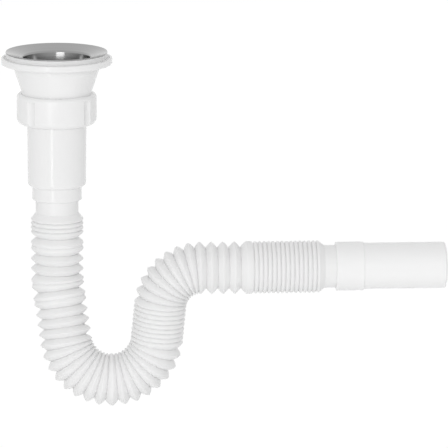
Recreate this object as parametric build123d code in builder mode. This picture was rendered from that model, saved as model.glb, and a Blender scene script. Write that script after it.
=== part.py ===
"""Basin waste with a corrugated trap: a pressed steel strainer bowl clamped by one screw to a
moulded waste body, a union nut, a tail tube, a bellows pipe bent into a water trap and a spigot."""

import os
from itertools import accumulate
from math import radians, tan

from build123d import *

os.makedirs("parts", exist_ok=True)

# Driving sizes in millimetres. Z is up, the basin seats at Z = 0, the outlet points along +X.
# Strainer bowl, pressed from sheet
bowl_sheet = 0.8
bowl_rim_radius = 35.0
bowl_rim_height = 4.1
well_mouth_radius = 23.2
well_mouth_height = 0.5
well_mouth_bend = 1.6
well_floor_radius = 21.5
well_depth = 11.0
well_floor_bend = 2.6
drain_hole_radius = 3.2
drain_hole_ring = 13.6
drain_hole_count = 8

# Seals
seal_clearance = 0.05
bowl_gasket_inner_radius = 26.6
flange_seal_width = 5.4
flange_seal_thickness = 2.0
flange_seal_side_clearance = 0.2
tail_seal_inner_radius = 18.6
tail_seal_outer_radius = 23.2
tail_seal_thickness = 2.0

# Waste body: flange, funnel and threaded neck
flange_radius = 38.5
flange_rim_width = 2.1
flange_thickness = 4.5
flange_edge_round = 1.6
flange_slope = 1.0
funnel_top_radius = 29.2
funnel_shoulder_drop = 3.6
funnel_bottom_radius = 24.4
funnel_bottom_drop = 23.4
funnel_collar = 1.8
funnel_round = 6.0
funnel_top_round = 1.0
body_wall = 2.6
neck_radius = 23.9
neck_length = 14.8
neck_wall = 3.4

# Spider that carries the clamp screw
boss_radius = 6.8
boss_top_drop = 21.0
boss_length = 16.5
rib_count = 4
rib_thickness = 2.6
rib_height = 10.0
rib_bite = 0.8

# Clamp screw and its nut
screw_radius = 3.0
screw_clearance = 0.25
screw_head_radius = 5.6
screw_head_height = 3.0
screw_head_round = 1.4
screw_slot_width = 1.4
screw_slot_depth = 1.4
screw_tip_chamfer = 0.6
screw_tip_stand_out = 1.0
insert_width = 10.0
insert_height = 5.0
insert_clearance = 0.2

# Union nut
union_wall = 3.35
union_gap = 0.3
union_thread_clearance = 0.35
union_lip = 2.0
union_bottom_round = 4.6
union_top_round = 2.2
union_mouth_widening = 0.9
union_mouth_depth = 2.0
union_bore_clearance = 0.4
flute_count = 4
flute_first_angle = 47.0
flute_tool_radius = 4.6
flute_depth = 1.5
flute_top_margin = 2.4

# Tail tube
tail_flange_radius = 23.2
tail_flange_thickness = 2.5
tail_top_radius = 20.5
tail_draft = 0.4
tail_length = 45.5
tail_wall = 2.3
tail_round = 2.7
sleeve_radius = 17.1
sleeve_length = 9.5
sleeve_round = 0.8
tail_floor = 3.0
cuff_stop_land = 1.0

# Corrugated pipe
cuff_radius = 14.75
cuff_inlet_grip = 11.5
cuff_inlet_free = 9.4
cuff_outlet_grip = 14.0
cuff_outlet_free = 8.0
cuff_shoulder = 4.2
glue_gap = 0.1
crest_radius = 18.2
crest_land = 3.2
open_root_radius = 13.9
open_pitch = 8.7
half_root_radius = 16.9
half_pitch = 4.7
half_land = 1.2
closed_root_radius = 16.5
closed_pitch = 3.1
pipe_wall = 1.3
leg_folds = ["closed"] * 3 + ["open", "half", "open", "open", "open", "half", "open", "half"] + ["open"] * 4
run_open_folds = 4
run_open_pitch = 8.0
run_broad_land = 3.4
run_closed_folds = 15

# Route of the pipe's centre line
lean_drop = 58.2
lean_bend_radius = 60.0
leg_drop = 67.7
leg_shift_x = 9.5
leg_shift_y = -10.0
floor_length = 56.0
floor_shift_y = -1.0
riser_height = 78.8
riser_shift_x = 7.5
riser_shift_y = -4.0
top_bend_radius = 27.5
return_bend_fill = 0.985

# Outlet spigot
spigot_radius = 16.0
spigot_length = 57.4
spigot_wall = 2.2
spigot_end_round = 2.0
collar_radius = 16.9
collar_length = 19.2
collar_round = 0.6

# Places worked out from the sizes above
seat_drop = flange_seal_thickness
flange_seal_outer_radius = flange_radius - flange_rim_width
flange_seal_inner_radius = flange_seal_outer_radius - flange_seal_width
neck_top = -(funnel_bottom_drop + funnel_collar)
neck_bottom = neck_top - neck_length
tail_flange_top = neck_bottom - tail_seal_thickness
tail_flange_bottom = tail_flange_top - tail_flange_thickness
union_top = neck_top - union_gap
union_bottom = tail_flange_bottom - union_lip
union_height = union_top - union_bottom
tail_bottom = tail_flange_bottom - tail_length
tail_bottom_radius = tail_top_radius - tail_draft
sleeve_bottom = tail_bottom - sleeve_length
cuff_top = sleeve_bottom + cuff_inlet_grip
cuff_bore_radius = cuff_radius - pipe_wall
neck_bore_radius = neck_radius - neck_wall
boss_bottom = -(boss_top_drop + boss_length)
rim_slope = (bowl_rim_height - well_mouth_height) / (bowl_rim_radius - well_mouth_radius)


def rim_underside(radius):
    """Height of the underside of the bowl's sloping rim at a radius."""
    drop = bowl_sheet * (1 + rim_slope**2) ** 0.5 + seal_clearance
    return well_mouth_height + (radius - well_mouth_radius) * rim_slope - drop


# Strainer bowl: the upper surface as one line, given its thickness, then turned
with BuildPart() as strainer_bowl:
    with BuildSketch(Plane.XZ):
        with BuildLine():
            FilletPolyline(
                (screw_radius + screw_clearance, -well_depth),
                (well_floor_radius, -well_depth),
                (well_mouth_radius, well_mouth_height),
                (bowl_rim_radius, bowl_rim_height),
                radius=[well_floor_bend, well_mouth_bend],
            )
            offset(amount=bowl_sheet, side=Side.RIGHT)
        make_face()
    revolve(axis=Axis.Z)
    with PolarLocations(drain_hole_ring, drain_hole_count):
        Hole(drain_hole_radius)
strainer_bowl.part.label = "strainer_bowl"
export_step(strainer_bowl.part, "parts/strainer_bowl.step")

# Wedge gasket that fills the space under the bowl's rim
with BuildPart() as bowl_gasket:
    with BuildSketch(Plane.XZ):
        with BuildLine():
            Polyline(
                (bowl_gasket_inner_radius, 0),
                (bowl_rim_radius, 0),
                (bowl_rim_radius, rim_underside(bowl_rim_radius)),
                (bowl_gasket_inner_radius, rim_underside(bowl_gasket_inner_radius)),
                close=True,
            )
        make_face()
    revolve(axis=Axis.Z)
bowl_gasket.part.label = "bowl_gasket"
export_step(bowl_gasket.part, "parts/bowl_gasket.step")

# Flat seal let into the flange
with BuildPart() as flange_seal:
    with BuildSketch(Plane.XY.offset(-flange_seal_thickness)):
        Circle(flange_seal_outer_radius)
        Circle(flange_seal_inner_radius, mode=Mode.SUBTRACT)
    extrude(amount=flange_seal_thickness)
flange_seal.part.label = "flange_seal"
export_step(flange_seal.part, "parts/flange_seal.step")

# Waste body: turned shell, ribs and boss added, screw hole and nut pocket cut
seal_recess_radius = flange_seal_outer_radius + flange_seal_side_clearance
shoulder_z = -(flange_thickness + flange_slope + funnel_shoulder_drop)
with BuildPart() as waste_body:
    with BuildSketch(Plane.XZ):
        with BuildLine():
            FilletPolyline(
                (funnel_top_radius - body_wall, -seat_drop),
                (seal_recess_radius, -seat_drop),
                (seal_recess_radius, 0),
                (flange_radius, 0),
                (flange_radius, -flange_thickness),
                (funnel_top_radius, -(flange_thickness + flange_slope)),
                (funnel_top_radius, shoulder_z),
                (funnel_bottom_radius, -funnel_bottom_drop),
                (funnel_bottom_radius, neck_top),
                (neck_radius, neck_top),
                (neck_radius, neck_bottom),
                (neck_bore_radius, neck_bottom),
                (neck_bore_radius, -funnel_bottom_drop),
                (funnel_top_radius - body_wall, shoulder_z),
                radius=[0, 0, 0, flange_edge_round / 2, flange_edge_round, funnel_top_round, funnel_round]
                + [funnel_round, 0, 0, 0, 0, funnel_round, funnel_round],
                close=True,
            )
        make_face()
    revolve(axis=Axis.Z)
    with BuildSketch(Plane.XY.offset(boss_bottom)):
        Circle(boss_radius)
    extrude(amount=boss_length)
    with BuildSketch(Plane.XY.offset(boss_bottom)):
        with PolarLocations(0, rib_count):
            Rectangle(neck_bore_radius + rib_bite, rib_thickness, align=(Align.MIN, Align.CENTER))
    extrude(amount=rib_height)
    with BuildSketch(Plane.XY.offset(boss_bottom)):
        Circle(screw_radius + screw_clearance)
    extrude(amount=boss_length, mode=Mode.SUBTRACT)
    with BuildSketch(Plane.XY.offset(boss_bottom)):
        RegularPolygon((insert_width + insert_clearance) / 2, 6, major_radius=False)
    extrude(amount=insert_height, mode=Mode.SUBTRACT)
waste_body.part.label = "waste_body"
export_step(waste_body.part, "parts/waste_body.step")

# Clamp screw with a slotted pan head on the floor of the well
with BuildPart() as clamp_screw:
    with BuildSketch(Plane.XY.offset(-well_depth)):
        Circle(screw_head_radius)
    extrude(amount=screw_head_height)
    fillet(clamp_screw.edges().group_by(Axis.Z)[-1], screw_head_round)
    with BuildSketch(Plane.XY.offset(-well_depth + screw_head_height)):
        Rectangle(2 * screw_head_radius, screw_slot_width)
    extrude(amount=-screw_slot_depth, mode=Mode.SUBTRACT)
    with BuildSketch(Plane.XY.offset(-well_depth)):
        Circle(screw_radius)
    extrude(amount=-(boss_top_drop + boss_length + screw_tip_stand_out - well_depth))
    chamfer(clamp_screw.edges().group_by(Axis.Z)[0], screw_tip_chamfer)
clamp_screw.part.label = "clamp_screw"
export_step(clamp_screw.part, "parts/clamp_screw.step")

# Brass nut held in the boss
with BuildPart() as insert_nut:
    with BuildSketch(Plane.XY.offset(boss_bottom)):
        RegularPolygon(insert_width / 2, 6, major_radius=False)
        Circle(screw_radius + seal_clearance, mode=Mode.SUBTRACT)
    extrude(amount=insert_height)
insert_nut.part.label = "insert_nut"
export_step(insert_nut.part, "parts/insert_nut.step")

# Union nut: turned cup with an inward lip and a coned mouth, then finger flutes cut round it
union_bore_radius = neck_radius + union_thread_clearance
union_radius = union_bore_radius + union_wall
union_mouth_radius = union_bore_radius + union_mouth_widening
union_lip_radius = tail_top_radius + union_bore_clearance
with BuildPart() as union_nut:
    with BuildSketch(Plane.XZ):
        with BuildLine():
            FilletPolyline(
                (union_bore_radius, union_top - union_mouth_depth),
                (union_mouth_radius, union_top),
                (union_radius, union_top),
                (union_radius, union_bottom),
                (union_lip_radius, union_bottom),
                (union_lip_radius, tail_flange_bottom),
                (union_bore_radius, tail_flange_bottom),
                radius=[0, 0, union_top_round, union_bottom_round, 0, 0, 0],
                close=True,
            )
        make_face()
    revolve(axis=Axis.Z)
    with BuildSketch(Plane.XY.offset(union_bottom)):
        flute_ring = union_radius - flute_depth + flute_tool_radius
        with PolarLocations(flute_ring, flute_count, start_angle=flute_first_angle):
            Circle(flute_tool_radius)
    extrude(amount=union_height - flute_top_margin, mode=Mode.SUBTRACT)
union_nut.part.label = "union_nut"
export_step(union_nut.part, "parts/union_nut.step")

# Flat ring between the neck and the tail tube
with BuildPart() as tail_seal:
    with BuildSketch(Plane.XY.offset(tail_flange_top)):
        Circle(tail_seal_outer_radius)
        Circle(tail_seal_inner_radius, mode=Mode.SUBTRACT)
    extrude(amount=tail_seal_thickness)
tail_seal.part.label = "tail_seal"
export_step(tail_seal.part, "parts/tail_seal.step")

# Tail tube: flange under the union nut, drafted tube, sleeve over the pipe's cuff
tail_bore_radius = tail_bottom_radius - tail_wall
sleeve_bore_radius = cuff_radius + glue_gap
with BuildPart() as tail_tube:
    with BuildSketch(Plane.XZ):
        with BuildLine():
            FilletPolyline(
                (tail_bore_radius, tail_flange_top),
                (tail_flange_radius, tail_flange_top),
                (tail_flange_radius, tail_flange_bottom),
                (tail_top_radius, tail_flange_bottom),
                (tail_bottom_radius, tail_bottom),
                (sleeve_radius, tail_bottom),
                (sleeve_radius, sleeve_bottom),
                (sleeve_bore_radius, sleeve_bottom),
                (sleeve_bore_radius, cuff_top),
                (cuff_bore_radius, cuff_top),
                (cuff_bore_radius, cuff_top + cuff_stop_land),
                (tail_bore_radius, cuff_top + tail_floor),
                radius=[0, 0, 0, 0, tail_round, sleeve_round / 2, sleeve_round, 0, 0, 0, 0, 0],
                close=True,
            )
        make_face()
    revolve(axis=Axis.Z)
tail_tube.part.label = "tail_tube"
export_step(tail_tube.part, "parts/tail_tube.step")

# Corrugated pipe: its route is straight runs joined by arcs
along_x = Vector(1, 0, 0)
leg_run = Vector(leg_shift_x, leg_shift_y, -leg_drop)
floor_run = Vector(floor_length, floor_shift_y, 0)
riser_run = Vector(riser_shift_x, riser_shift_y, riser_height)


def half_turn(run_in, run_out):
    """Tangent of half the angle between two runs: an arc's setback is its radius times this."""
    return tan(radians(run_in.get_angle(run_out) / 2))


top_setback = top_bend_radius * half_turn(riser_run, along_x)
return_turns = half_turn(leg_run, floor_run) + half_turn(floor_run, riser_run)
return_bend_radius = return_bend_fill * floor_run.length / return_turns
lean_corner = Vector(0, 0, sleeve_bottom - lean_drop)
leg_foot = lean_corner + leg_run
riser_foot = leg_foot + floor_run
riser_head = riser_foot + riser_run
run_open_length = run_open_folds * run_open_pitch + run_broad_land
run_rings_length = run_open_length + run_closed_folds * closed_pitch
run_cuff_start = run_rings_length + cuff_shoulder
collar_face = riser_head + along_x * (top_setback + run_cuff_start + cuff_outlet_free)

with BuildLine() as route:
    FilletPolyline(
        (0, 0, cuff_top),
        lean_corner,
        leg_foot,
        riser_foot,
        riser_head,
        collar_face + along_x * cuff_outlet_grip,
        radius=[lean_bend_radius, return_bend_radius, return_bend_radius, top_bend_radius],
    )
centre_line = route.wire()
edges = centre_line.order_edges()
_, _, _, return_in, _, return_out, _, top_bend, _ = edges
marks = list(accumulate((edge.length for edge in edges), initial=0))
leg_end, floor_start, floor_end, riser_start, riser_end, run_start, pipe_length = marks[3:]


def section(length, radius, bend=None, inward=0.0):
    """A circle across the route at a length along it, moved towards the inside of a bend."""
    centre = centre_line.position_at(length, PositionMode.LENGTH)
    if bend:
        centre += (bend.arc_center - centre).normalized() * inward
    tangent = centre_line.tangent_at(length, PositionMode.LENGTH)
    return Plane(origin=centre, x_dir=(0, 1, 0), z_dir=tangent), radius


def fold(begin, end, root_radius, land=0.0, bend=None, inward=0.0):
    """A fold between two crests: its root, and the half of each crest's land that belongs to it."""
    sections = []
    if land:
        sections.append(section(begin + land / 2, crest_radius))
    sections.append(section((begin + end) / 2, root_radius, bend, inward))
    sections.append(section(end - land / 2, crest_radius))
    return sections


def folds(begin, end, count, root_radius, land=0.0, bend=None, inward=0.0):
    """Equal folds between two lengths along the route."""
    step = (end - begin) / count
    sections = []
    for number in range(count):
        start = begin + step * number
        sections += fold(start, start + step, root_radius, land, bend, inward)
    return sections


def bend_folds(bend, begin, end):
    """Folds of a bend: closed on its inside and drawn open on its outside."""
    share = bend.radius / (bend.radius + crest_radius)
    count = max(1, round((end - begin) / (open_pitch * share)))
    root_radius = (open_root_radius + closed_root_radius) / 2
    inward = (closed_root_radius - open_root_radius) / 2
    return folds(begin, end, count, root_radius, crest_land * share, bend, inward)


# Leg: its open folds share the length that the closed and the half closed ones leave
leg_begin = cuff_inlet_grip + cuff_inlet_free + cuff_shoulder
leg_fixed = leg_folds.count("closed") * closed_pitch + leg_folds.count("half") * half_pitch
leg_open_pitch = (leg_end - leg_begin - leg_fixed) / leg_folds.count("open")
fold_forms = {
    "closed": (closed_pitch, closed_root_radius, 0.0),
    "half": (half_pitch, half_root_radius, half_land),
    "open": (leg_open_pitch, open_root_radius, crest_land),
}

# Each list is one loft, and no loft turns through more than half a bend
bellows = [[section(0, cuff_radius), section(cuff_inlet_grip + cuff_inlet_free, cuff_radius)]]
bellows[-1].append(section(leg_begin, crest_radius))
fold_begin = leg_begin
for form in leg_folds:
    pitch, root_radius, land = fold_forms[form]
    bellows[-1] += fold(fold_begin, fold_begin + pitch, root_radius, land)
    fold_begin += pitch
bends = [
    (return_in, leg_end, floor_start),
    (return_out, floor_end, riser_start),
    (top_bend, riser_end, run_start),
]
for bend, begin, end in bends:
    middle = (begin + end) / 2
    for start, stop in ((begin, middle), (middle, end)):
        bellows.append([bellows[-1][-1]])
        bellows[-1] += bend_folds(bend, start, stop)
    if bend is return_out:
        riser_count = max(1, round((riser_end - riser_start) / closed_pitch))
        bellows[-1] += folds(riser_start, riser_end, riser_count, closed_root_radius)
closed_start = run_start + run_open_length
closed_end = run_start + run_rings_length
broad_start = closed_start - run_broad_land
bellows[-1] += folds(run_start, broad_start, run_open_folds, open_root_radius, crest_land)
bellows[-1].append(section(closed_start, crest_radius))
bellows[-1] += folds(closed_start, closed_end, run_closed_folds, closed_root_radius)
bellows[-1].append(section(run_start + run_cuff_start, cuff_radius))
bellows[-1].append(section(pipe_length, cuff_radius))

with BuildPart() as pipe_bore:
    for sections in bellows:
        for plane, radius in sections:
            with BuildSketch(plane):
                Circle(radius - pipe_wall)
        loft(ruled=True, clean=False)

with BuildPart() as corrugated_pipe:
    for sections in bellows:
        for plane, radius in sections:
            with BuildSketch(plane):
                Circle(radius)
        loft(ruled=True, clean=False)
    add(pipe_bore.part, mode=Mode.SUBTRACT)
corrugated_pipe.part.label = "corrugated_pipe"
export_step(corrugated_pipe.part, "parts/corrugated_pipe.step")

# Outlet spigot: a collar over the pipe's cuff and a plain tube for the push-fit socket
outlet_plane = Plane(origin=collar_face, x_dir=along_x, z_dir=(0, -1, 0))
spigot_bore_radius = spigot_radius - spigot_wall
with BuildPart() as outlet_spigot:
    with BuildSketch(outlet_plane):
        with BuildLine():
            FilletPolyline(
                (0, cuff_radius + glue_gap),
                (0, collar_radius),
                (collar_length, collar_radius),
                (collar_length, spigot_radius),
                (collar_length + spigot_length, spigot_radius),
                (collar_length + spigot_length, spigot_bore_radius),
                (cuff_outlet_grip, spigot_bore_radius),
                (cuff_outlet_grip, cuff_radius + glue_gap),
                radius=[0, collar_round, collar_round, 0, spigot_end_round, 0, 0, 0],
                close=True,
            )
        make_face()
    revolve(axis=Axis(collar_face, along_x))
outlet_spigot.part.label = "outlet_spigot"
export_step(outlet_spigot.part, "parts/outlet_spigot.step")
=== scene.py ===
import math

import bpy
from mathutils import Matrix, Vector


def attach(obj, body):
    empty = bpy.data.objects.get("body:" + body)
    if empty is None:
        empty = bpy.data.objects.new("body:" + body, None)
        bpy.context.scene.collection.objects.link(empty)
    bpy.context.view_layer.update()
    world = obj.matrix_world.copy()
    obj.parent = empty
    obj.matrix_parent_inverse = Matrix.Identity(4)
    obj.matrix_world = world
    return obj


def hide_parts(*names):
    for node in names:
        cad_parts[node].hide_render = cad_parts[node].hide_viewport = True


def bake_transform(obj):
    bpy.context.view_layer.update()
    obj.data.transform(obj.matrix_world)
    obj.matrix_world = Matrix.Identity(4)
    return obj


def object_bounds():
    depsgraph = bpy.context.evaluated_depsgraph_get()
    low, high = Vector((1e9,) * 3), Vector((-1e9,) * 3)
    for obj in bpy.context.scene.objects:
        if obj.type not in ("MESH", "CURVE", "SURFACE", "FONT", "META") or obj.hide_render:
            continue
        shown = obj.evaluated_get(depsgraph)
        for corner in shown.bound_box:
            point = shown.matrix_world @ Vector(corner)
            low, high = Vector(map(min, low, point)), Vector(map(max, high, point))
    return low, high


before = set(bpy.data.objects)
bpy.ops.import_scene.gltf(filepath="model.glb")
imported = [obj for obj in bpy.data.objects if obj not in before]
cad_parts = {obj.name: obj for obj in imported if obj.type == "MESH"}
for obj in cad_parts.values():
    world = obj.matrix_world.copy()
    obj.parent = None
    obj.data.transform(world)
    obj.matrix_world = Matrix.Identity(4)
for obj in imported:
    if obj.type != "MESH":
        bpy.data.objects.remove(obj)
cad_low, cad_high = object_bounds()

MM = 0.001
WELD = 0.00001
SMOOTH_ANGLE = 35.0
CORNER_STEPS = 6

# Corrugated pipe, in millimetres: its centre line
SLEEVE_BOTTOM = -99.5
CUFF_GRIP = 11.5
CUFF_FREE = 9.4
LEAN_DROP = 58.2
LEAN_RADIUS = 60.0
LEG_RUN = Vector((9.5, -10.0, -67.7))
FLOOR_RUN = Vector((56.0, -1.0, 0.0))
RISER_RUN = Vector((7.5, -4.0, 78.8))
TOP_RADIUS = 27.5
RETURN_FILL = 0.985
ROUTE_STEP = 1.0

# Corrugated pipe, in millimetres: its folds, open, half shut and shut
CREST_RADIUS = 18.2
OPEN_ROOT = 13.9
HALF_ROOT = 16.9
SHUT_ROOT = 16.5
BEND_ROOT = (OPEN_ROOT + SHUT_ROOT) / 2
BEND_INWARD = (SHUT_ROOT - OPEN_ROOT) / 2
OUTER_BEND_PITCH = 8.7
HALF_PITCH = 4.7
SHUT_PITCH = 3.1
LEG_TOP_FOLDS = ["shut"] * 3
LEG_MIDDLE_FOLDS = ["open", "half", "open", "open", "open", "half", "open", "half"]
LEG_LOW_FOLDS = ["open"] * 4
LEG_FOLDS = LEG_TOP_FOLDS + LEG_MIDDLE_FOLDS + LEG_LOW_FOLDS
RUN_OPEN_FOLDS = 4
RUN_OPEN_PITCH = 8.0
RUN_BROAD_LAND = 3.4
RUN_SHUT_FOLDS = 15
OPEN_FULLNESS = 1.15
BEND_FULLNESS = 1.25
SHUT_FULLNESS = 1.45
FOLD_STEPS = (0.0, 0.015, 0.06, 0.14, 0.26, 0.42, 0.6, 0.8)
CUFF_RADIUS = 14.75
CUFF_SHOULDER = 4.2
CUFF_OUTLET = 22.0
PIPE_WALL = 1.3
BORE_STEP = 3.0
PIPE_SIDES = 72

# Union nut, in millimetres
NUT_RADIUS = 27.6
NUT_TOP = -24.9
NUT_BOTTOM = -46.5
NUT_BORE = 24.25
NUT_MOUTH = 24.5
NUT_MOUTH_DEPTH = 2.0
NUT_LIP_BORE = 20.9
NUT_LIP = 2.0
NUT_TOP_ROUND = 2.6
NUT_BOTTOM_ROUND = 4.6
NUT_SIDES = 120
FLUTE_COUNT = 4
FLUTE_FIRST_ANGLE = 47.0
FLUTE_TOOL_RADIUS = 4.6
FLUTE_TOOL_SIDES = 64
FLUTE_DEPTH = 1.5
FLUTE_TOP_MARGIN = 3.0
FLUTE_EDGE_ROUND = 0.5
FLUTE_EDGE_STEPS = 3
FLUTE_EDGE_ANGLE = 28.0

# Finishes: the noise that a surface varies with, to the metre, and heights and depths in millimetres
NOISE_MIDDLE = 0.5
CLOUD_SCALE = 28.0
CLOUD_DETAIL = 3.0
SHEEN_SCALE = 75.0
SHEEN_DETAIL = 4.0
GRAIN_DETAIL = 2.0
GRAIN_STRENGTH = 0.25
PLASTIC_IOR = 1.49
MILKY_DEPTH = 2.0
MILKY_SPREAD = (1.0, 1.0, 1.0)
POLISH_SCALE = 60.0
POLISH_DETAIL = 3.0
RING_DETAIL = 3.0
RING_STRENGTH = 0.1
RING_HEIGHT = 0.1

# Strainer bowl, in millimetres: the height where its well begins, and how fast the painted shade darkens
# the steel's colour down it
WELL_SHADE_TOP = 1.0
WELL_SHADE_FADE = 2.0

# Stage, in metres: a white floor far below the hanging trap, in a white room
FLOOR_DROP = 0.9
FLOOR_SIZE = 14.0
FLOOR_LIGHTNESS = 0.9
FLOOR_ROUGHNESS = 0.8
FLOOR_ROUGHNESS_SPREAD = 0.1
FLOOR_CLOUD_SCALE = 3.0
FLOOR_CLOUD_DETAIL = 2.0
FLOOR_GLOW = 1.05
FLOOR_GLOW_SHARE = 0.9
ROOM_LIGHT = 0.70
BACKDROP_LIGHT = 1.0

# Camera: a long lens a little above the trap and a little to its left
CAMERA_LENS = 700.0
CAMERA_SENSOR = 36.0
CAMERA_FAR = 50.0
CAMERA_AZIMUTH = -4.0
CAMERA_ELEVATION = 11.0
PICTURE_WIDTH = 0.309
PICTURE_SHIFT_RIGHT = 0.1155
PICTURE_SHIFT_UP = -0.1150


def select_only(*objects):
    """Leaves just these objects selected, the first of them active."""
    bpy.ops.object.select_all(action="DESELECT")
    for item in objects:
        item.select_set(True)
    bpy.context.view_layer.objects.active = objects[0]


def tidy_mesh():
    """Welds the mesh being edited, turns its faces outwards and leaves edit mode."""
    bpy.ops.mesh.select_all(action="SELECT")
    bpy.ops.mesh.remove_doubles(threshold=WELD)
    bpy.ops.mesh.normals_make_consistent(inside=False)
    bpy.ops.object.mode_set(mode="OBJECT")


def turned(name, outline, sides):
    """A piece spun about the Z axis from a closed outline of radii and heights in millimetres."""
    bpy.ops.object.select_all(action="DESELECT")
    bpy.ops.mesh.primitive_plane_add(size=MM)
    piece = bpy.context.object
    piece.name = name
    bpy.ops.object.mode_set(mode="EDIT")
    bpy.ops.mesh.select_all(action="SELECT")
    bpy.ops.mesh.merge(type="CENTER")
    radius, height = outline[0]
    bpy.ops.transform.translate(value=(radius * MM, 0, height * MM))
    for next_radius, next_height in outline[1:] + outline[:1]:
        step = ((next_radius - radius) * MM, 0, (next_height - height) * MM)
        bpy.ops.mesh.extrude_region_move(TRANSFORM_OT_translate={"value": step})
        radius, height = next_radius, next_height
    bpy.ops.mesh.select_all(action="SELECT")
    bpy.ops.mesh.spin(steps=sides, angle=2 * math.pi, center=(0, 0, 0), axis=(0, 0, 1))
    tidy_mesh()
    return piece


def apply_modifiers(piece):
    """Makes a piece's modifiers part of its mesh, in their order."""
    select_only(piece)
    for modifier in list(piece.modifiers):
        bpy.ops.object.modifier_apply(modifier=modifier.name)


def smooth(piece):
    """Shades a piece smooth except across its sharp corners."""
    select_only(piece)
    bpy.ops.object.shade_smooth_by_angle(angle=math.radians(SMOOTH_ANGLE))


def half_turn(run_in, run_out):
    """Tangent of half the angle between two runs: a bend's setback is its radius times this."""
    return math.tan(run_in.angle(run_out) / 2)


def bend(before, corner, after, radius):
    """Points round a bend at a corner of the route, and the bend's centre."""
    back = (before - corner).normalized()
    ahead = (after - corner).normalized()
    half = back.angle(ahead) / 2
    centre = corner + (back + ahead).normalized() * (radius / math.sin(half))
    start = corner + back * (radius / math.tan(half)) - centre
    turn = math.pi - 2 * half
    axis = back.cross(ahead)
    count = math.ceil(turn * radius / ROUTE_STEP)
    points = [centre + Matrix.Rotation(-turn * i / count, 3, axis) @ start for i in range(count + 1)]
    return points, centre


def straight(begin, end):
    """Points between two ends of a straight run, without the ends."""
    count = math.ceil((end - begin).length / ROUTE_STEP)
    return [begin.lerp(end, i / count) for i in range(1, count)]


def path_length(points):
    """Length of the way from the first point to the last."""
    return sum((b - a).length for a, b in zip(points, points[1:]))


def rounded(corners, radii):
    """A closed outline with each corner rounded off by its radius, or left sharp for 0."""
    outline = []
    for number, radius in enumerate(radii):
        corner = Vector(corners[number])
        if not radius:
            outline.append(tuple(corner))
            continue
        back = (Vector(corners[number - 1]) - corner).normalized()
        ahead = (Vector(corners[(number + 1) % len(corners)]) - corner).normalized()
        half = back.angle(ahead) / 2
        centre = corner + (back + ahead).normalized() * (radius / math.sin(half))
        first = corner + back * (radius / math.tan(half)) - centre
        last = corner + ahead * (radius / math.tan(half)) - centre
        for i in range(CORNER_STEPS + 1):
            ray = first.lerp(last, i / CORNER_STEPS).normalized()
            outline.append(tuple(centre + ray * radius))
    return outline


def fold(begin, end, root, fullness):
    """Outline of a fold from one crest to just before the next: full sides and a narrow root."""
    outline = []
    half = (end - begin) / 2
    for step in FOLD_STEPS[::-1] + FOLD_STEPS[1:]:
        side = 1 if len(outline) >= len(FOLD_STEPS) else -1
        height = (1 - (1 - step) ** fullness) ** (1 / fullness)
        outline.append((root + (CREST_RADIUS - root) * height, begin + half * (1 + side * step)))
    return [(CREST_RADIUS, begin)] + outline


def folds(begin, end, count, root, fullness):
    """Outline of equal folds between two lengths along the pipe."""
    step = (end - begin) / count
    outline = []
    for number in range(count):
        outline += fold(begin + step * number, begin + step * (number + 1), root, fullness)
    return outline


def bend_folds(begin, end, radius):
    """Outline of the folds of a bend, an even number of them."""
    pitch = OUTER_BEND_PITCH * radius / (radius + CREST_RADIUS)
    count = 2 * round((end - begin) / 2 / pitch)
    return folds(begin, end, count, BEND_ROOT, BEND_FULLNESS)


def lay_along(piece, route):
    """Bends a piece that stands on the Z axis along a route of points in millimetres."""
    bpy.ops.object.select_all(action="DESELECT")
    bpy.ops.curve.primitive_nurbs_path_add()
    centre_line = bpy.context.object
    centre_line.data.splines.clear()
    spline = centre_line.data.splines.new("POLY")
    spline.points.add(len(route) - 1)
    for point, place in zip(spline.points, route):
        point.co = (*(place * MM), 1.0)
    bent = piece.modifiers.new("along_route", "CURVE")
    bent.object = centre_line
    bent.deform_axis = "POS_Z"
    apply_modifiers(piece)
    bpy.data.objects.remove(centre_line)


# Pipe's route: down the leg, round the return, up the riser, over the top and along the level run
along_x = Vector((1, 0, 0))
return_turns = half_turn(LEG_RUN, FLOOR_RUN) + half_turn(FLOOR_RUN, RISER_RUN)
return_radius = RETURN_FILL * FLOOR_RUN.length / return_turns
top_setback = TOP_RADIUS * half_turn(RISER_RUN, along_x)
run_open_length = RUN_OPEN_FOLDS * RUN_OPEN_PITCH + RUN_BROAD_LAND
run_rings_length = run_open_length + RUN_SHUT_FOLDS * SHUT_PITCH
pipe_start = Vector((0, 0, SLEEVE_BOTTOM + CUFF_GRIP))
lean_corner = Vector((0, 0, SLEEVE_BOTTOM - LEAN_DROP))
leg_foot = lean_corner + LEG_RUN
riser_foot = leg_foot + FLOOR_RUN
riser_head = riser_foot + RISER_RUN
run_start = riser_head + along_x * top_setback
shut_start = run_start + along_x * run_open_length
shut_end = run_start + along_x * run_rings_length
pipe_end = shut_end + along_x * (CUFF_SHOULDER + CUFF_OUTLET)

lean_bend = bend(pipe_start, lean_corner, leg_foot, LEAN_RADIUS)
first_return = bend(lean_corner, leg_foot, riser_foot, return_radius)
second_return = bend(leg_foot, riser_foot, riser_head, return_radius)
top_bend = bend(riser_foot, riser_head, pipe_end, TOP_RADIUS)
route = [pipe_start]
marks = []
for points, _ in (lean_bend, first_return, second_return, top_bend):
    route += straight(route[-1], points[0])
    begin = path_length(route + points[:1])
    route += points
    marks.append((begin, path_length(route)))
route += straight(route[-1], pipe_end) + [pipe_end]
pipe_length = path_length(route)
_, first_mark, second_mark, top_mark = marks

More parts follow.
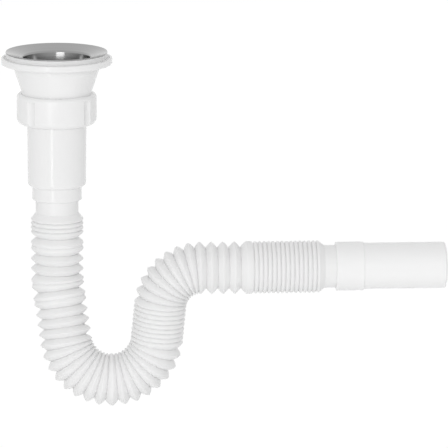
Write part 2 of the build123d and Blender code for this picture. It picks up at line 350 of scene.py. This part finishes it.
# Pipe's outline, as a straight bellows: cuff, leg, return, riser, top bend, level run, cuff and bore
leg_begin = CUFF_GRIP + CUFF_FREE + CUFF_SHOULDER
leg_end, _ = first_mark
leg_fixed = LEG_FOLDS.count("shut") * SHUT_PITCH + LEG_FOLDS.count("half") * HALF_PITCH
leg_open_pitch = (leg_end - leg_begin - leg_fixed) / LEG_FOLDS.count("open")
fold_forms = {
    "shut": (SHUT_PITCH, SHUT_ROOT, SHUT_FULLNESS),
    "half": (HALF_PITCH, HALF_ROOT, SHUT_FULLNESS),
    "open": (leg_open_pitch, OPEN_ROOT, OPEN_FULLNESS),
}
outline = [(CUFF_RADIUS, 0.0), (CUFF_RADIUS, CUFF_GRIP + CUFF_FREE)]
fold_begin = leg_begin
for form in LEG_FOLDS:
    pitch, root, fullness = fold_forms[form]
    outline += fold(fold_begin, fold_begin + pitch, root, fullness)
    fold_begin += pitch

outline += bend_folds(*first_mark, return_radius)
outline += bend_folds(*second_mark, return_radius)
_, riser_begin = second_mark
riser_end, run_begin = top_mark
riser_folds = round((riser_end - riser_begin) / SHUT_PITCH)
outline += folds(riser_begin, riser_end, riser_folds, SHUT_ROOT, SHUT_FULLNESS)
outline += bend_folds(*top_mark, TOP_RADIUS)

shut_begin = run_begin + run_open_length
land_begin = shut_begin - RUN_BROAD_LAND
rings_end = run_begin + run_rings_length
outline += folds(run_begin, land_begin, RUN_OPEN_FOLDS, OPEN_ROOT, OPEN_FULLNESS)
outline.append((CREST_RADIUS, land_begin))
outline += folds(shut_begin, rings_end, RUN_SHUT_FOLDS, SHUT_ROOT, SHUT_FULLNESS)
outline.append((CREST_RADIUS, rings_end))
outline.append((CUFF_RADIUS, rings_end + CUFF_SHOULDER))
outline.append((CUFF_RADIUS, pipe_length))
bore_radius = OPEN_ROOT - PIPE_WALL
bore_steps = round(pipe_length / BORE_STEP)
outline += [(bore_radius, pipe_length * (1 - i / bore_steps)) for i in range(bore_steps + 1)]

pipe = turned("corrugated_pipe_skin", outline, PIPE_SIDES)
straight_places = [vertex.co / MM for vertex in pipe.data.vertices]
lay_along(pipe, route)

# In a bend the folds are shut on the inside and drawn open on the outside
folded_bends = ((first_mark, first_return), (second_mark, second_return), (top_mark, top_bend))
for (begin, end), (points, centre) in folded_bends:
    for vertex, place in zip(pipe.data.vertices, straight_places):
        radius = math.hypot(place.x, place.y)
        if begin < place.z < end and radius > bore_radius + PIPE_WALL:
            nearest = points[round((place.z - begin) / (end - begin) * (len(points) - 1))]
            slack = (CREST_RADIUS - radius) / (CREST_RADIUS - BEND_ROOT)
            vertex.co += (centre - nearest).normalized() * (slack * BEND_INWARD * MM)
smooth(pipe)
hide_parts("corrugated_pipe")
shut_start * MM
shut_end * MM
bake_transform(pipe)

# Union nut: turned, fluted with round cutters, its edges eased
nut_corners = [
    (NUT_RADIUS, NUT_TOP),
    (NUT_RADIUS, NUT_BOTTOM),
    (NUT_LIP_BORE, NUT_BOTTOM),
    (NUT_LIP_BORE, NUT_BOTTOM + NUT_LIP),
    (NUT_BORE, NUT_BOTTOM + NUT_LIP),
    (NUT_BORE, NUT_TOP - NUT_MOUTH_DEPTH),
    (NUT_MOUTH, NUT_TOP),
]
nut_rounds = [NUT_TOP_ROUND, NUT_BOTTOM_ROUND, 0, 0, 0, 0, 0]
nut = turned("union_nut_skin", rounded(nut_corners, nut_rounds), NUT_SIDES)
flute_height = NUT_TOP - FLUTE_TOP_MARGIN - NUT_BOTTOM
cutter_ring = NUT_RADIUS + FLUTE_TOOL_RADIUS - FLUTE_DEPTH
cutters = []
for number in range(FLUTE_COUNT):
    angle = math.radians(FLUTE_FIRST_ANGLE) + 2 * math.pi * number / FLUTE_COUNT
    cutter_place = Vector((cutter_ring * math.cos(angle), cutter_ring * math.sin(angle), NUT_BOTTOM))
    bpy.ops.mesh.primitive_cylinder_add(
        vertices=FLUTE_TOOL_SIDES,
        radius=FLUTE_TOOL_RADIUS * MM,
        depth=2 * flute_height * MM,
        location=cutter_place * MM,
    )
    cutters.append(bpy.context.object)
select_only(*cutters)
bpy.ops.object.join()
flutes = nut.modifiers.new("flutes", "BOOLEAN")
flutes.object = cutters[0]
eased = nut.modifiers.new("eased", "BEVEL")
eased.width = FLUTE_EDGE_ROUND * MM
eased.segments = FLUTE_EDGE_STEPS
eased.angle_limit = math.radians(FLUTE_EDGE_ANGLE)
apply_modifiers(nut)
bpy.data.objects.remove(cutters[0])
smooth(nut)
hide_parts("union_nut")
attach(nut, "nut")


class Wire:
    """An output socket of a shader node that is used in sums like a number."""

    def __init__(self, socket):
        self.socket = socket
        self.tree = socket.id_data

    @classmethod
    def make(cls, tree, kind, output, settings=None, inputs=None):
        """One output of a new node: settings come first, then its inputs' wires or plain values."""
        node = tree.nodes.new(kind)
        for name, value in (settings or {}).items():
            setattr(node, name, value)
        sockets = {socket.identifier: socket for socket in node.inputs}
        for name, value in (inputs or {}).items():
            feed(sockets[name], value)
        outputs = {socket.identifier: socket for socket in node.outputs}
        return cls(outputs[output])

    def math(self, operation, first, second):
        """A Math node on two wires or plain numbers."""
        values = {"Value": first, "Value_001": second}
        return Wire.make(self.tree, "ShaderNodeMath", "Value", {"operation": operation}, values)

    def __add__(self, other):
        return self.math("ADD", self, other)

    def __radd__(self, other):
        return self.math("ADD", other, self)

    def __sub__(self, other):
        return self.math("SUBTRACT", self, other)

    def __rsub__(self, other):
        return self.math("SUBTRACT", other, self)

    def __mul__(self, other):
        return self.math("MULTIPLY", self, other)

    def __rmul__(self, other):
        return self.math("MULTIPLY", other, self)

    def __pow__(self, other):
        return self.math("POWER", self, other)

    def __rpow__(self, other):
        return self.math("POWER", other, self)


def feed(target, value):
    """Gives an input socket a wire or a plain value."""
    if isinstance(value, Wire):
        value.tree.links.new(value.socket, target)
    else:
        target.default_value = value


def grey(lightness):
    """A plain grey, from 0 for black to 1 for white."""
    return (lightness, lightness, lightness, 1.0)


def noise(place, scale, detail):
    """A soft random pattern over a place."""
    values = {"Vector": place, "Scale": scale, "Detail": detail}
    return Wire.make(place.tree, "ShaderNodeTexNoise", "Fac", inputs=values)


def mixed_colour(share, first, second):
    """The first colour where the share is 0, the second where it is 1."""
    values = {"Factor_Float": share, "A_Color": first, "B_Color": second}
    return Wire.make(share.tree, "ShaderNodeMix", "Result_Color", {"data_type": "RGBA"}, values)


def mixed_shader(share, first, second):
    """The first shader where the share is 0, the second where it is 1."""
    values = {"Fac": share, "Shader": first, "Shader_001": second}
    return Wire.make(share.tree, "ShaderNodeMixShader", "Shader", inputs=values)


def raised(pattern, strength, height):
    """The surface's direction where a pattern is raised by a height in millimetres."""
    values = {"Strength": strength, "Distance": height * MM, "Height": pattern}
    return Wire.make(pattern.tree, "ShaderNodeBump", "Normal", inputs=values)


def background_rays(tree):
    """1 for the rays that show the white background: the camera's own, mirrored and passed ones."""
    shown = Wire.make(tree, "ShaderNodeLightPath", "Is Camera Ray")
    for name in ("Is Glossy Ray", "Is Transmission Ray"):
        shown = shown.math("MAXIMUM", shown, Wire.make(tree, "ShaderNodeLightPath", name))
    return shown


def new_material(name):
    """A material, its shader and a wire of the place on the object."""
    material = bpy.data.materials.new(name)
    material.use_nodes = True
    shader = material.node_tree.nodes["Principled BSDF"]
    place = Wire.make(material.node_tree, "ShaderNodeTexCoord", "Object")
    return material, shader, place


def moulded_plastic(name, light, dark, roughness, roughness_spread, grain_scale, grain_height, milkiness):
    """Moulded plastic: a faintly cloudy colour, a patchy sheen, a fine skin and a milky depth."""
    material, shader, place = new_material(name)
    cloud = noise(place, CLOUD_SCALE, CLOUD_DETAIL)
    sheen = noise(place, SHEEN_SCALE, SHEEN_DETAIL)
    grain = noise(place, grain_scale, GRAIN_DETAIL)
    feed(shader.inputs["Base Color"], mixed_colour(cloud, light, dark))
    feed(shader.inputs["Roughness"], roughness + (sheen - NOISE_MIDDLE) * roughness_spread)
    feed(shader.inputs["Normal"], raised(grain, GRAIN_STRENGTH, grain_height))
    feed(shader.inputs["IOR"], PLASTIC_IOR)
    feed(shader.inputs["Subsurface Weight"], milkiness)
    feed(shader.inputs["Subsurface Radius"], MILKY_SPREAD)
    feed(shader.inputs["Subsurface Scale"], MILKY_DEPTH * MM)
    return material


def spun_metal(name, light, dark, roughness, roughness_spread, ring_scale, painted_well_shade=None):
    """Metal with fine rings about the Z axis and a patchy polish; given a well shade, painted shade
    darkens its colour down a bowl's well.
    """
    material, shader, place = new_material(name)
    across, along, height = (
        Wire.make(place.tree, "ShaderNodeSeparateXYZ", axis, inputs={"Vector": place}) for axis in "XYZ"
    )
    radius = (across * across + along * along) ** 0.5
    ring_place = Wire.make(place.tree, "ShaderNodeCombineXYZ", "Vector", inputs={"X": radius, "Y": height})
    rings = noise(ring_place, ring_scale, RING_DETAIL)
    polish = noise(place, POLISH_SCALE, POLISH_DETAIL)
    colour = mixed_colour(rings, light, dark)
    # Painted shade: below the well's top the colour goes darker, standing in for the dark reflections in
    # the recess.
    if painted_well_shade:
        values = {
            "Value": height,
            "From Min": WELL_SHADE_TOP * MM,
            "From Max": (WELL_SHADE_TOP - WELL_SHADE_FADE) * MM,
        }
        depth = Wire.make(place.tree, "ShaderNodeMapRange", "Result", inputs=values)
        colour = mixed_colour(depth, colour, painted_well_shade)
    feed(shader.inputs["Base Color"], colour)
    feed(shader.inputs["Roughness"], roughness + (polish - NOISE_MIDDLE) * roughness_spread)
    feed(shader.inputs["Normal"], raised(rings, RING_STRENGTH, RING_HEIGHT))
    feed(shader.inputs["Metallic"], 1.0)
    return material


def white_floor():
    """White floor paint: it shows the white background and keeps a share of the trap's shadow."""
    material, shader, place = new_material("white_floor")
    cloud = noise(place, FLOOR_CLOUD_SCALE, FLOOR_CLOUD_DETAIL)
    feed(shader.inputs["Base Color"], grey(FLOOR_LIGHTNESS))
    feed(shader.inputs["Roughness"], FLOOR_ROUGHNESS + cloud * FLOOR_ROUGHNESS_SPREAD)
    glow_values = {"Color": grey(1.0), "Strength": FLOOR_GLOW}
    glow = Wire.make(place.tree, "ShaderNodeEmission", "Emission", inputs=glow_values)
    share = background_rays(place.tree) * FLOOR_GLOW_SHARE
    surface = mixed_shader(share, Wire(shader.outputs["BSDF"]), glow)
    feed(place.tree.nodes["Material Output"].inputs["Surface"], surface)
    return material


def paint(piece, material):
    """Gives a piece one material all over."""
    piece.data.materials.clear()
    piece.data.materials.append(material)


# Finishes of the pieces
white_gloss = moulded_plastic(
    "white_gloss_plastic",
    light=grey(0.89),
    dark=grey(0.875),
    roughness=0.15,
    roughness_spread=0.05,
    grain_scale=900.0,
    grain_height=0.01,
    milkiness=0.2,
)
white_sheen = moulded_plastic(
    "white_sheen_plastic",
    light=grey(0.90),
    dark=grey(0.885),
    roughness=0.25,
    roughness_spread=0.05,
    grain_scale=900.0,
    grain_height=0.01,
    milkiness=0.2,
)
white_satin = moulded_plastic(
    "white_satin_plastic",
    light=grey(0.95),
    dark=grey(0.92),
    roughness=0.35,
    roughness_spread=0.1,
    grain_scale=1400.0,
    grain_height=0.02,
    milkiness=0.3,
)
milky_white = moulded_plastic(
    "milky_white_plastic",
    light=grey(0.905),
    dark=grey(0.875),
    roughness=0.42,
    roughness_spread=0.1,
    grain_scale=1400.0,
    grain_height=0.02,
    milkiness=0.3,
)
white_seal = moulded_plastic(
    "white_soft_seal",
    light=grey(0.87),
    dark=grey(0.82),
    roughness=0.55,
    roughness_spread=0.12,
    grain_scale=1200.0,
    grain_height=0.02,
    milkiness=0.3,
)
polished_steel = spun_metal(
    "polished_steel",
    light=grey(0.36),
    dark=grey(0.31),
    roughness=0.15,
    roughness_spread=0.06,
    ring_scale=900.0,
    # The well's darker grey is painted shade, not a colour of the steel.
    painted_well_shade=grey(0.3),
)
screw_steel = spun_metal(
    "screw_steel",
    light=(0.50, 0.49, 0.48, 1.0),
    dark=(0.38, 0.37, 0.36, 1.0),
    roughness=0.28,
    roughness_spread=0.12,
    ring_scale=1500.0,
)
brass = spun_metal(
    "turned_brass",
    light=(0.72, 0.52, 0.22, 1.0),
    dark=(0.60, 0.42, 0.16, 1.0),
    roughness=0.3,
    roughness_spread=0.1,
    ring_scale=1500.0,
)
finishes = {
    "strainer_bowl": polished_steel,
    "clamp_screw": screw_steel,
    "insert_nut": brass,
    "bowl_gasket": white_seal,
    "flange_seal": white_seal,
    "tail_seal": white_seal,
    "waste_body": white_gloss,
    "union_nut": white_sheen,
    "tail_tube": white_gloss,
    "corrugated_pipe": milky_white,
    "outlet_spigot": white_satin,
}
for node_name, material in finishes.items():
    paint(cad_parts[node_name], material)
paint(pipe, milky_white)
paint(nut, white_sheen)

# Floor
bpy.ops.object.select_all(action="DESELECT")
bpy.ops.mesh.primitive_plane_add(size=FLOOR_SIZE, location=(0, 0, cad_low.z - FLOOR_DROP))
floor = bpy.context.object
floor.name = "floor"
paint(floor, white_floor())

# Room: an even white light, and a full white where it is seen
world = bpy.data.worlds.new("white_room")
world.use_nodes = True
bpy.context.scene.world = world
room = world.node_tree
ambient = room.nodes["Background"]
feed(ambient.inputs["Color"], grey(1.0))
feed(ambient.inputs["Strength"], ROOM_LIGHT)
backdrop_values = {"Color": grey(1.0), "Strength": BACKDROP_LIGHT}
backdrop = Wire.make(room, "ShaderNodeBackground", "Background", inputs=backdrop_values)
room_light = mixed_shader(background_rays(room), Wire(ambient.outputs["Background"]), backdrop)
feed(room.nodes["World Output"].inputs["Surface"], room_light)

# Camera
azimuth = math.radians(CAMERA_AZIMUTH)
elevation = math.radians(CAMERA_ELEVATION)
right = Vector((math.cos(azimuth), math.sin(azimuth), 0))
towards = Vector((
    math.sin(azimuth) * math.cos(elevation),
    -math.cos(azimuth) * math.cos(elevation),
    math.sin(elevation),
))
up = towards.cross(right)
target = right * PICTURE_SHIFT_RIGHT + up * PICTURE_SHIFT_UP
distance = PICTURE_WIDTH * CAMERA_LENS / CAMERA_SENSOR
bpy.ops.object.camera_add()
camera = bpy.context.object
camera.data.lens = CAMERA_LENS
camera.data.sensor_width = CAMERA_SENSOR
camera.data.clip_end = CAMERA_FAR
camera_turn = Matrix((right, up, towards)).transposed()
camera.matrix_world = Matrix.Translation(target + towards * distance) @ camera_turn.to_4x4()
bpy.context.scene.camera = camera


def soft_light(name, width, height, power, across, rise, nearness):
    """A rectangular lamp that faces the trap, placed in the camera's own directions, in metres."""
    bpy.ops.object.light_add(type="AREA")
    lamp = bpy.context.object
    lamp.name = name
    lamp.data.shape = "RECTANGLE"
    lamp.data.size = width
    lamp.data.size_y = height
    lamp.data.energy = power
    place = target + right * across + up * rise + towards * nearness
    lamp.location = place
    lamp.rotation_euler = (target - place).to_track_quat("-Z", "Y").to_euler()


# Lamps: a broad one from the left, a narrow one for the bright line on the tail, and a low fill
soft_light("front_light", width=1.4, height=1.2, power=16.8, across=-0.7, rise=-0.05, nearness=2.8)
soft_light("strip_light", width=0.25, height=0.7, power=1.8, across=-0.83, rise=-0.81, nearness=2.0)
soft_light("low_light", width=1.4, height=0.5, power=0.9, across=0.2, rise=-0.75, nearness=0.55)

bpy.context.scene.view_settings.view_transform = "Standard"
